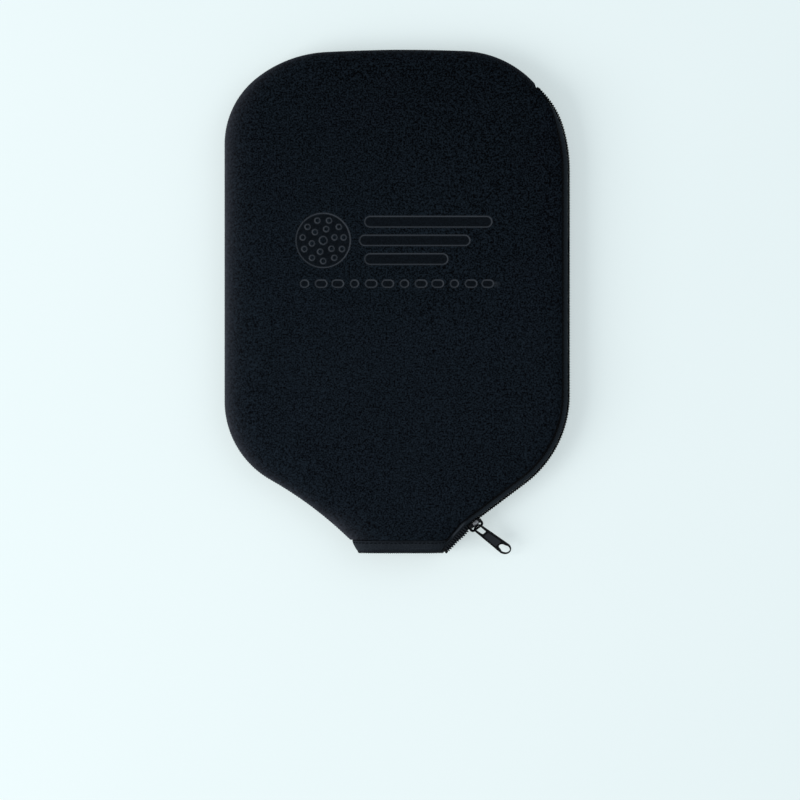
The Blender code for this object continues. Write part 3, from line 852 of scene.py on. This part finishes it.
# %% [markdown]
# ## The zip
# Each half of a coil zip is a woven tape with a spiral of nylon sewn along its edge. The spiral's
# turns are the teeth, and the two rows sit half a pitch apart, so that they hook into each other.
# Behind the slider, towards the neck, the rows part again.

# %% How the zip opens out
TAPE_HALF = 0.24 * MM
tape_line, tape_reach = even(zip_raw, 1.0 * MM)
tape_into = directions(tape_line)[1]
to_slider = np.linalg.norm(tape_line - slider_spot, axis=1)
slider_reach = tape_reach[int(np.argmin(to_slider))]
past_slider = tape_reach - slider_reach
TURN_START = 2.6 * MM              # past the slider's middle, where the rows start to turn up
TURN_END = 6.6 * MM
PARTED = 1.25 * MM                 # how far each row moves away from the middle
SWING = 1.3 * MM                   # how far the open rows swing out, at most


def parted(past):
    """How far each row is from the middle: hooked in front of the slider, apart behind it."""
    return PARTED * smooth(past, -1.0 * MM, 4.0 * MM)


def turned(past):
    """0 where the rows stand upright, 1 where they have turned up to lie open, past the slider."""
    return smooth(past, TURN_START, TURN_END)


def swung(past):
    """How far the open rows swing out past the slider, less again near the hem."""
    return SWING * smooth(past, 2.5 * MM, 6.5 * MM) * (1 - 0.65 * smooth(past, 9 * MM, 17 * MM))


# %% Tapes
# Each pair is an inward distance and a height over the middle, in millimetres.
UPRIGHT_TAPE = np.array([(1.6, 0.52), (1.6, 3.1), (2.4, 4.2), (4.2, 4.9), (7.0, 5.15), (9.8, 5.2)])
OPEN_TAPE = np.array([(-0.1, 3.9), (2.2, 4.6), (3.1, 5.6), (3.7, 6.7), (4.6, 5.3), (9.8, 5.2)])
TAPE_POINTS = 24                   # the points across each face of the tape
HEM_KEEP = 3.4                     # how far in the tape reaches where it runs beside the hem


def tape_sections(side):
    rows = []
    for point, inward, past in zip(tape_line, tape_into, past_slider):
        share = turned(past)
        control = UPRIGHT_TAPE * (1 - share) + OPEN_TAPE * share
        control[:, 0] -= swung(past) / MM * np.clip(1 - control[:, 0] / 4.6, 0, 1)
        over = np.maximum(control[:, 0] - HEM_KEEP, 0)
        control[:, 0] -= over * 0.9 * smooth(past, 13 * MM, 17.5 * MM)
        line, reach = even(control * MM, 0.55 * MM)
        line = at_reach(line, reach, np.linspace(0, reach[-1], TAPE_POINTS))
        run, across = directions(line)
        rise = parted(past) * 0.25 * (1 - share)
        section = np.concatenate([line + across * TAPE_HALF, (line - across * TAPE_HALF)[::-1]])
        flat = point[None] + inward[None] * section[:, 0:1]
        rows.append([(f[0], f[1], MID + side * (h + rise)) for f, h in zip(flat, section[:, 1])])
    return rows


LIP_POINT = 11.0                   # the section point under the panel's lip
RIDGE = 9.7                        # the section point on the fold that stands up where the tape lies open
for side, half in HALVES:
    tape = loft(half + "_twill_tape", tape_sections(side), twill_tape, tape_reach)
    order = np.arange(2 * TAPE_POINTS)
    order = np.minimum(order, order[::-1])
    # ridge carries a painted highlight on the standing fold
    ridge = np.clip(1 - np.abs(order - RIDGE) / 1.7, 0, 1)[None] * turned(past_slider)[:, None]
    set_numbers(tape.data, "ridge", ridge)
    # lip carries painted shade: under the panel's lip, and under the open fold
    lip = smooth(order, LIP_POINT - 1.0, LIP_POINT + 1.0)[None]
    lip = lip * (1 - turned(past_slider))[:, None]
    under = (order < RIDGE - 4)[None] * turned(past_slider)[:, None] * 0.75
    lip = np.maximum(lip, under)
    set_numbers(tape.data, "lip", lip)
    dress(tape, "zip_tape", half + "_zip_tape")
print("zip", round(tape_reach[-1], 4), "m long, slider at", round(slider_reach, 4), "m")

# %% Coils
TOOTH_PITCH = 1.57 * MM
WIRE = 0.385 * MM
OPEN_WIRE = 0.03 * MM               # how much wider a tooth looks where its row lies open
tooth_line, tooth_reach = even(zip_raw, TOOTH_PITCH / 2)
tooth_run, tooth_into = directions(tooth_line)
tooth_past = tooth_reach - slider_reach
TOOTH_SHAPE = [(1.25, 3.0), (0.55, 2.95), (0.36, 2.2), (0.36, 0.5), (0.45, -0.3), (0.8, -0.5), (1.15, -0.3),
               (1.25, 0.6)]
OPEN_ROOT = (3.0, 5.45)            # where a turned-up tooth starts
OPEN_TILT = math.radians(17.0)     # how far its far end drops
TOOTH_BASE = (1.6, 3.0)            # the point of an upright tooth that goes to the root
TOOTH_MIDDLE = 1.5                 # the height that a leaning tooth leans about
HOOKED_LEAN = -0.10 * MM           # how far a tooth leans along the zip, per millimetre of height
OPEN_LEAN = 0.12 * MM
ROW_OFFSET = 0.12                  # the front row's teeth stand this much further out


def open_place(depth, height):
    """Where a point of an upright tooth goes once its row has turned up."""
    out = TOOTH_BASE[1] - height
    over = TOOTH_BASE[0] - depth
    return (OPEN_ROOT[0] - out * math.cos(OPEN_TILT) - over * math.sin(OPEN_TILT),
            OPEN_ROOT[1] - out * math.sin(OPEN_TILT) + over * math.cos(OPEN_TILT))


def coil_piece(name, side, offset):
    verts, faces, open_share = [], [], []
    for i in range(3 + offset, len(tooth_line) - 2, 2):
        share = turned(tooth_past[i])
        lean = HOOKED_LEAN * (1 - share) + OPEN_LEAN * share
        points = []
        for depth, height in TOOTH_SHAPE:
            upright = np.array([depth - ROW_OFFSET * side, height + parted(tooth_past[i]) / MM])
            place = (upright * (1 - share) + np.array(open_place(depth, height)) * share) * MM
            place[0] -= swung(tooth_past[i]) * share
            flat = tooth_line[i] + tooth_into[i] * place[0] + tooth_run[i] * lean * (height - TOOTH_MIDDLE)
            points.append((flat[0], flat[1], MID + side * place[1]))
        before = len(verts)
        add_tube(verts, faces, points, WIRE + OPEN_WIRE * share)
        open_share += [share] * (len(verts) - before)
    return new_piece(name, verts, faces, nylon, {"open": open_share})


for offset, (side, half) in enumerate(HALVES):
    coil = coil_piece(half + "_teeth", side, offset)
    dress(coil, "nylon_coil", half + "_coil")
    print(half, "teeth:", len(coil.data.vertices), "points")


# %% End stops
def clip_piece(name, side):
    """A pressed clip round the last tooth of a row."""
    run, into = tooth_run[-1], tooth_into[-1]
    profile = [(-0.7, 4.5), (-0.7, 5.9), (2.9, 6.9), (3.1, 5.6)]
    sections = []
    for along, grow in ((-1.0, 0.85), (-0.8, 1.0), (0.5, 1.0), (0.7, 0.85)):
        section = []
        for depth, height in profile:
            depth = 1.2 + (depth - 1.2) * grow
            height = 5.7 + (height - 5.7) * grow
            flat = tooth_line[-1] + run * along * MM + into * (depth * MM - swung(tooth_past[-1]))
            section.append((flat[0], flat[1], MID + side * height * MM))
        sections.append(section)
    return loft(name, sections, gloss_enamel)


for side, half in HALVES:
    dress(clip_piece(half + "_end_clip", side), "black_enamel", half + "_end_stop")
print("end stops made")

# %% [markdown]
# ## Threads
# Sewing is what makes a soft case look sewn. Every row is made of separate stitches: short tubes
# that rise from the cloth and dive back into it. The closed seam is overlocked, so its threads
# wrap round the edge from the front to the back.

# %% A row of stitches
TAPE_STITCH = 2.1 * MM             # the length of one stitch
TAPE_STITCH_GAP = 0.7 * MM


def stitch_row(name, line, into, reach, place, side, length, gap, radius=0.17 * MM, rise=None):
    """Stitches along a line, place = (inward distance, height over the middle)."""
    verts, faces = [], []
    start = length
    while start + length < reach[-1] - gap:
        points = []
        for share in (0, 0.25, 0.5, 0.75, 1):
            at = start + length * share + rng.uniform(-0.04, 0.04) * MM
            flat = at_reach(line, reach, at)
            inward = at_reach(into, reach, at)
            up = 0.0 if rise is None else np.interp(at, reach, rise)
            arch = math.sin(math.pi * share) * 0.16 * MM
            flat = flat + inward * (place[0] - arch * 0.6)
            points.append((flat[0], flat[1], MID + side * (place[1] + arch + up)))
        add_tube(verts, faces, points, radius)
        start += length + gap
    return new_piece(name, verts, faces, thread)


for side, half in HALVES:
    row = stitch_row(half + "_tape_stitches", tape_line, tape_into, tape_reach, (4.1 * MM, 5.05 * MM), side,
                     TAPE_STITCH, TAPE_STITCH_GAP, 0.16 * MM, 0.45 * MM * turned(past_slider))
    dress(row, "sewing_thread", half + "_zip_stitching")

# %% The overlocked seam
seam_line, seam_reach = even(seam_raw, 0.75 * MM)
seam_run, seam_into = directions(seam_line)
WRAP = [(1.35, 2.3), (0.75, 1.5), (0.38, 0.75), (0.22, 0.0), (0.38, -0.75), (0.75, -1.5), (1.35, -2.3)]


def overlock_piece():
    verts, faces = [], []
    for i in range(2, len(seam_line) - 2, 2):
        points = []
        wobble = rng.uniform(-0.10, 0.10) * MM
        for depth, height in WRAP:
            flat = seam_line[i] + seam_into[i] * depth * MM + seam_run[i] * (height * 0.16 * MM + wobble)
            points.append((flat[0], flat[1], MID + height * MM))
        add_tube(verts, faces, points, 0.19 * MM, 5)
    return new_piece("seam_overlock", verts, faces, thread)


overlock = dress(overlock_piece(), "sewing_thread", "closed_seam_thread")
print("overlocked seam:", len(overlock.data.vertices), "points")

# %% The bar tack at the notch
TACK_THREADS = 11


def bar_tack_piece():
    """Threads from the front to the back, side by side from the seam's end to the zip's start."""
    verts, faces = [], []
    first, last = seam_line[-1], zip_start[0]
    run = (last - first) / np.linalg.norm(last - first)
    into = np.array([run[1], -run[0]])
    for k in range(TACK_THREADS):
        inset = (0.45 + (k % 2) * 0.15) * MM
        at = first + (last + run * 0.6 * MM - first) * k / (TACK_THREADS - 1) + into * inset
        points = []
        for height in (-3.4, -2.2, 0.0, 2.2, 3.4):
            flat = at + into * abs(height) ** 2 * 0.07 * MM
            points.append((flat[0], flat[1], MID + height * MM))
        add_tube(verts, faces, points, 0.24 * MM)
    return new_piece("notch_tack_threads", verts, faces, thread)


dress(bar_tack_piece(), "sewing_thread", "notch_bar_tack")
print("bar tack made")

# %% [markdown]
# ## The mouth hem
# The neck ends in a folded knit binding. Its section is an arch across the mouth, and it narrows
# towards the mouth, where its right end runs under the open end of the zip. A row of stitches
# holds its upper edge, and overlock threads wrap round its lower edge.

# %% Hem binding
HEM_TALL = 7.25 * MM
HEM_TOP = NECK_Y - 0.35 * MM
RIB_DEPTH = 0.05 * MM


def arch_points(left, right, crown, out, count):
    """Half the mouth, from the left end over the top to the right, as (x, height)."""
    quarter = quarter_ellipse((0, 0), (crown, MID - out), 24)
    up = [(left + out + d, h) for d, h in quarter]
    down = [(right - out - d, h) for d, h in quarter[::-1]]
    line, reach = even(up + down, 1 * MM)
    picked = np.linspace(0, reach[-1], count)
    return at_reach(line, reach, picked), picked


def hem_ends(down):
    """The hem's left and right ends, at a distance down from its upper edge."""
    share = down / HEM_TALL
    return NECK_LEFT + 0.9 * MM + share * 4.3 * MM, 31.5 * MM - 3.2 * MM * share ** 0.8


# Each pair is a distance down from the upper edge and a distance in from the outside, in
# millimetres. They run from the panel to the mouth, round the folded edge and back inside.
HEM_PROFILE = [
    (0.0, 1.1), (0.05, 0.75), (0.5, 0.45), (1.2, 0.22), (2.3, 0.0), (3.7, -0.14), (4.9, -0.16), (5.9, -0.05),
    (6.7, 0.2), (7.1, 0.55), (7.25, 1.0), (7.05, 1.5), (6.3, 1.8), (3.6, 1.95), (1.0, 1.95), (0.05, 1.85),
]
HEM_GAP = 0.25 * MM                # half the gap between the front and the back hem
HEM_FLATTEN = 0.975                # the hem is this much of the panels' height
HEM_CROWN = 11 * MM                # how far in from its ends the hem gets flat


def hem_piece(name, side):
    """One section per point along the arch, so that the ribs run across the hem."""
    count = 420
    rows = []
    for down, inset in HEM_PROFILE:
        left, right = hem_ends(down * MM)
        line, reach = arch_points(left, right, HEM_CROWN, inset * MM + 0.2 * MM, count)
        ridge = np.sin(reach * 2 * math.pi / RIB_PITCH) * RIB_DEPTH
        ridge += 0.10 * MM * np.sin(reach / (3.1 * MM) + down * 0.8) * np.sin(reach / (7.7 * MM))
        middle_x = (left + right) / 2
        outward = np.stack([np.sign(line[:, 0] - middle_x) * (1 - line[:, 1] / MID), line[:, 1] / MID], 1)
        line = line + outward * (ridge * (1 if inset < 0.5 else 0))[:, None]
        y = HEM_TOP - down * MM
        rows.append([(x, y, MID + side * (HEM_GAP + h * HEM_FLATTEN)) for x, h in line])
    turned_round = [list(section) for section in zip(*rows)]
    return loft(name, turned_round, ribbed_binding, reach)


for side, half in HALVES:
    hem = hem_piece(half + "_hem_band", side)
    dress(hem, "hem_binding", half + "_hem_binding")
    print(half, "hem:", [round(d / MM, 1) for d in hem.dimensions], "mm")


# %% The hem's stitches
HEM_STITCH = 1.5 * MM              # the length of one stitch
HEM_STITCH_STEP = 2.4 * MM         # from one stitch's start to the next one's


def over_arch(at, arch, reach, down, out, side):
    """A point over the hem, at a distance along its arch and down from its upper edge."""
    x, h = at_reach(arch, reach, at)
    middle_x = (arch[0, 0] + arch[-1, 0]) / 2
    lean = (1 if x > middle_x else -1) * (1 - h / MID)
    height = HEM_GAP + h * HEM_FLATTEN + out * h / MID
    return x + lean * out, HEM_TOP - down, MID + side * height


def hem_stitches(name, side):
    """Stitches through the hem, just below its upper edge: short bars lying in the knit."""
    verts, faces = [], []
    down = 1.25 * MM
    left, right = hem_ends(down)
    arch, reach = arch_points(left, right, HEM_CROWN, 0.0, 200)
    start = 5 * MM
    while start < reach[-1] - 9 * MM:
        points = []
        for share in (0, 0.3, 0.7, 1):
            out = math.sin(math.pi * share) * 0.20 * MM - 0.26 * MM
            sway = rng.uniform(-0.05, 0.05) * MM
            points.append(over_arch(start + HEM_STITCH * share, arch, reach, down + sway, out, side))
        add_tube(verts, faces, points, 0.23 * MM)
        start += HEM_STITCH_STEP
    return new_piece(name, verts, faces, dark_thread)


def hem_overlock(name, side):
    """Threads that wrap the hem's lower edge, from the outside to the inside."""
    verts, faces = [], []
    wrap = [(5.3, 0.15), (6.0, 0.10), (6.7, -0.12), (7.15, -0.5), (7.37, -1.0), (7.25, -1.5), (6.8, -1.85)]
    left, right = hem_ends(6.3 * MM)
    arch, reach = arch_points(left, right, HEM_CROWN, 0.0, 200)
    start = 3 * MM
    while start < reach[-1] - 6 * MM:
        start += 1.2 * MM + rng.uniform(-0.08, 0.08) * MM
        reaches_up = rng.uniform(-0.25, 0.25)
        points = []
        for k, (down, out) in enumerate(wrap):
            down = down + reaches_up if k == 0 else down
            points.append(over_arch(start + 0.06 * MM * k, arch, reach, down * MM, (out + 0.05) * MM, side))
        add_tube(verts, faces, points, 0.17 * MM, 5)
    return new_piece(name, verts, faces, thread)


for side, half in HALVES:
    dress(hem_stitches(half + "_hem_stitches", side), "sewing_thread", half + "_hem_stitching")
    dress(hem_overlock(half + "_hem_overlock", side), "sewing_thread")
print("hem stitches made")

# %% [markdown]
# ## Metal parts
# The slider's body, the pull and the top stop have the right shape in the frame already. They
# keep it, and get the enamel. The pull's two sunk fields are duller than its polished rim, so its
# material is told where they are.

# %% The pull's sunk field
PULL_HEADING = math.radians(-37.6)
PULL_DROOP = math.radians(12.0)
PULL_TWIST = math.radians(35.0)
BRIDGE_OUT = 4.0 * MM              # the bridge bar's axis, outside the zip's line
FIELD_FROM = 6.4 * MM              # the pull's sunk field, from the bridge bar's axis
FIELD_TO = 16.0 * MM
FIELD_HALF = 2.8 * MM
FIELD_HEIGHT = 0.36 * MM           # the field's face is nearer the pull's middle plane than this


def pull_field(finish, place):
    """1 on the pull's two sunk fields. The pull's own directions are fixed sums of x, y and z."""
    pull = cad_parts["pull_tab"]
    turn = Matrix.Rotation(PULL_HEADING, 3, "Z") @ Matrix.Rotation(PULL_DROOP, 3, "Y")
    turn = turn @ Matrix.Rotation(PULL_TWIST, 3, "X")
    to_object = pull.matrix_world.inverted()
    outward = Vector((slope[1], -slope[0], 0))
    start = to_object @ (Vector((*slider_spot, MID)) + outward * BRIDGE_OUT)
    found = []
    for k in range(3):
        way = to_object.to_3x3() @ turn.col[k]
        found.append(place[0] * way.x + place[1] * way.y + place[2] * way.z - way.dot(start))
    along, across, over = found
    soft = 0.15 * MM
    inside = along.above(FIELD_FROM, FIELD_FROM + soft) * (1 - along.above(FIELD_TO - soft, FIELD_TO))
    inside = inside * (1 - across.size().above(FIELD_HALF - 0.1 * MM, FIELD_HALF))
    return inside * (1 - over.size().above(FIELD_HEIGHT - 0.01 * MM, FIELD_HEIGHT))


pull_enamel = enamel_finish("enamel_pull", pull_field)
print("pull enamel made")

# %% [markdown]
# The slider's bow and shoulders are made here. The bow is thick at its feet and thin in the
# middle, where the pull hangs. The casting's shoulders wrap the edge of the coils, front and back,
# and their tops carry a painted glint: a light, partly metallic patch that stands for a highlight.

# %% The slider's bow and shoulders
BOW_HALF = 3.9 * MM
BOW_FOOT = -1.2 * MM
BOW_CORNER = 1.5 * MM
BOW_THICK = 0.80 * MM              # radius at its feet
BOW_THIN = 0.55 * MM


def by_slider(x, y, z):
    """A place in the slider's own directions: up the zip, into the case, and up."""
    flat = slider_spot + slope * x + np.array([-slope[1], slope[0]]) * y
    return (flat[0], flat[1], MID + z)


def bow_piece():
    bar = -BRIDGE_OUT
    route = [(-BOW_HALF, BOW_FOOT), (-BOW_HALF, bar + BOW_CORNER)]
    for side in (-1, 1):
        for k in range(1 if side < 0 else 0, 7 if side < 0 else 6):
            angle = math.pi / 2 * (k / 6 if side < 0 else 1 - k / 6)
            route.append((side * (BOW_HALF - BOW_CORNER + BOW_CORNER * math.cos(angle)),
                          bar + BOW_CORNER - BOW_CORNER * math.sin(angle)))
    route += [(BOW_HALF, bar + BOW_CORNER), (BOW_HALF, BOW_FOOT)]
    route = np.array(route)
    run, across = directions(route)
    sections = []
    for point, side in zip(route, across):
        thick = BOW_THIN + (BOW_THICK - BOW_THIN) * smooth(abs(point[0]), 1.5 * MM, BOW_HALF)
        ring = []
        for k in range(16):
            angle = 2 * math.pi * k / 16
            flat = point + side * thick * math.cos(angle)
            ring.append(by_slider(flat[0], flat[1], thick * math.sin(angle)))
        sections.append(ring)
    return loft("slider_bow", sections, gloss_enamel)


def shoulder_piece(name, side, ends, profile, material):
    """A rounded block over the coils' edge, with both ends drawn in."""
    middle = np.mean(profile, axis=0)
    sections = []
    for x, grow in ((ends[0], 0.80), (ends[0] + 0.35, 0.97), (ends[1] - 0.35, 0.97), (ends[1], 0.80)):
        corners = middle + (np.array(profile) - middle) * grow
        sections.append([by_slider(x * MM, y * MM, side * z * MM) for y, z in corners])
    return loft(name, sections, material)


# Painted glint: a light, partly metallic patchy colour that stands for a highlight on the slider's top
def glint_finish():
    finish = Finish("enamel_painted_glint")
    where = finish.place()[0]
    patches = finish.noise(where, 900, 2.0).above(0.35, 0.65)
    finish.feed("Base Color", finish.between(patches, (0.05, 0.055, 0.06, 1), (0.36, 0.37, 0.39, 1)))
    finish.feed("Roughness", patches * 0.15 + 0.25)
    finish.feed("Metallic", patches * 0.5)
    finish.bump(patches, 0.02 * MM, 0.5)
    return finish.material


# Each profile is pairs of (into the case, up), and each pair of ends is along the zip, in millimetres.
SHOULDER_ENDS = (-3.9, 4.1)
SHOULDER = [(-2.1, 2.6), (-2.1, 3.9), (-1.7, 4.25), (0.7, 4.25), (1.0, 3.9), (1.0, 3.3)]
GLINT_ENDS = (-0.9, 2.6)
GLINT_TOP = [(-1.6, 4.1), (-1.5, 4.38), (0.5, 4.38), (0.6, 4.1)]
glint_enamel = glint_finish()
metal = [(bow_piece(), "slider_bridge")]
for side, half in HALVES:
    shoulder = shoulder_piece(half + "_slider_shoulder", side, SHOULDER_ENDS, SHOULDER, gloss_enamel)
    glint_top = shoulder_piece(half + "_slider_painted_glint", side, GLINT_ENDS, GLINT_TOP, glint_enamel)
    metal += [(shoulder, None), (glint_top, None)]
for piece, stands_for in metal:
    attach(piece, "slider")
    if stands_for:
        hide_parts(stands_for)
print("slider pieces:", len(metal))

# %% Enamel on the metal parts
metal_nodes = {"slider_body": gloss_enamel, "pull_tab": pull_enamel, "top_stop": gloss_enamel}
for node, enamel in metal_nodes.items():
    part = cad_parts[node]
    part.data.materials.clear()
    part.data.materials.append(enamel)
print("enamel set")

# %% [markdown]
# Each panel is a cut sheet. Its flat size is the case's outline plus what rolls over the edge.


# %% [markdown]
# ## Floor and light
# The case lies on a pale table that glows a little, so its shadow stays faint. An even pale sky
# and two broad soft lights do the rest, the stronger one from the lower left.

# %% Floor
FLOOR_HALF = 4.0
FLOOR_GLOW = 0.82
FLOOR_DROP = 0.4 * MM              # the back hem's threads stand a little below the rest plane


def floor_finish():
    finish = Finish("pale_floor")
    where = finish.place()[0]
    mottle = finish.noise(where, 3.0, 2.0)
    tint = finish.between(mottle, (0.50, 0.560, 0.560, 1), (0.52, 0.575, 0.575, 1))
    finish.feed("Base Color", tint)
    finish.feed("Emission Color", tint)
    finish.feed("Emission Strength", FLOOR_GLOW)
    finish.feed("Roughness", 0.9 + mottle * 0.05)
    finish.feed("Specular IOR Level", 0.1)
    return finish.material


floor_mesh = bpy.data.meshes.new("floor")
corners = [(-FLOOR_HALF, -FLOOR_HALF, 0), (FLOOR_HALF, -FLOOR_HALF, 0), (FLOOR_HALF, FLOOR_HALF, 0),
           (-FLOOR_HALF, FLOOR_HALF, 0)]
floor_mesh.from_pydata(corners, [], [(0, 1, 2, 3)])
floor_mesh.materials.append(floor_finish())
floor = bpy.data.objects.new("floor", floor_mesh)
floor.location.z = -FLOOR_DROP
bpy.context.collection.objects.link(floor)


# %% Lights
def soft_light(name, place, size, watts, colour):
    lamp = bpy.data.lights.new(name, "AREA")
    lamp.shape = "SQUARE"
    lamp.size = size
    lamp.energy = watts
    lamp.color = colour
    made = bpy.data.objects.new(name, lamp)
    made.location = place
    made.rotation_euler = (-Vector(place)).to_track_quat("-Z", "Y").to_euler()
    bpy.context.collection.objects.link(made)
    return made


soft_light("window_light", (-1.85, -0.6, 1.3), 1.6, 38, (1.0, 0.99, 0.98))
soft_light("fill_light", (1.6, 0.8, 1.7), 1.8, 8, (0.93, 0.97, 1.0))
world = bpy.data.worlds.new("studio")
world.use_nodes = True
world.node_tree.nodes["Background"].inputs["Color"].default_value = (0.86, 0.93, 1.0, 1)
world.node_tree.nodes["Background"].inputs["Strength"].default_value = 0.44
bpy.context.scene.world = world
bpy.context.scene.view_settings.view_transform = "Standard"
print("stage set")
